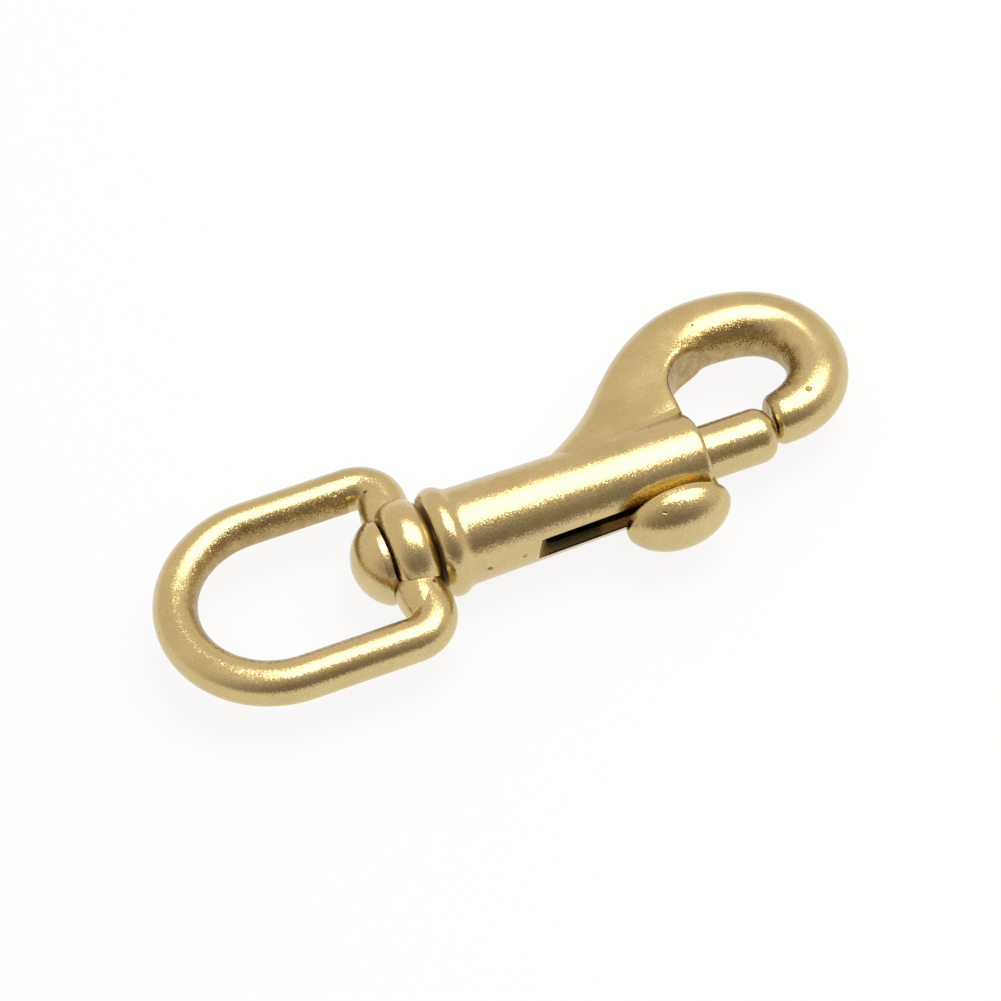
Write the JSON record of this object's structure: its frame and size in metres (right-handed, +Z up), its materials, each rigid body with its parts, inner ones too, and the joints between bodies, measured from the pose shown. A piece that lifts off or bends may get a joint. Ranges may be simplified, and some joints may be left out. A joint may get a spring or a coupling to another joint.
{
  "type": "swivel bolt snap",
  "caption": "Cast brass swivel bolt snap: an open hook closed by a spring bolt with a thumb knob, and a D-shaped strap loop that turns on a dome-headed rivet.",
  "frame": {"origin": "on the barrel's axis, at the inside of the strap loop's round end, where the strap pulls", "axes": "+X along the barrel's axis towards the hook, +Y towards the bow of the hook, +Z up and square to the plane that hook and loop lie in"},
  "size_m": [0.0791, 0.0315, 0.0116],
  "materials": {
    "cast_brass": "tumbled and polished casting",
    "bolt_brass": "polished casting",
    "loop_brass": "tumbled and polished casting",
    "rivet_brass": "polished, head upset",
    "spring_steel": "drawn wire"
  },
  "bodies": {
    "hook": {"hook_body": "cast_brass", "swivel_rivet": "rivet_brass", "bolt_spring": "spring_steel"},
    "bolt": {"sliding_bolt": "bolt_brass"},
    "loop": {"swivel_eye": "loop_brass"}
  },
  "joints": [
    {"name": "bolt_slide", "type": "slide", "parent": "hook", "child": "bolt", "axis": [-1, 0, 0], "range_m": [0, 0.0095], "stiffness_N_per_m": 400, "springref_m": -0.006, "deforming": ["bolt_spring"]},
    {"name": "swivel_spin", "type": "hinge", "parent": "hook", "child": "loop", "pos_m": [0.02215, 0, 0], "axis": [1, 0, 0], "continuous": true}
  ]
}
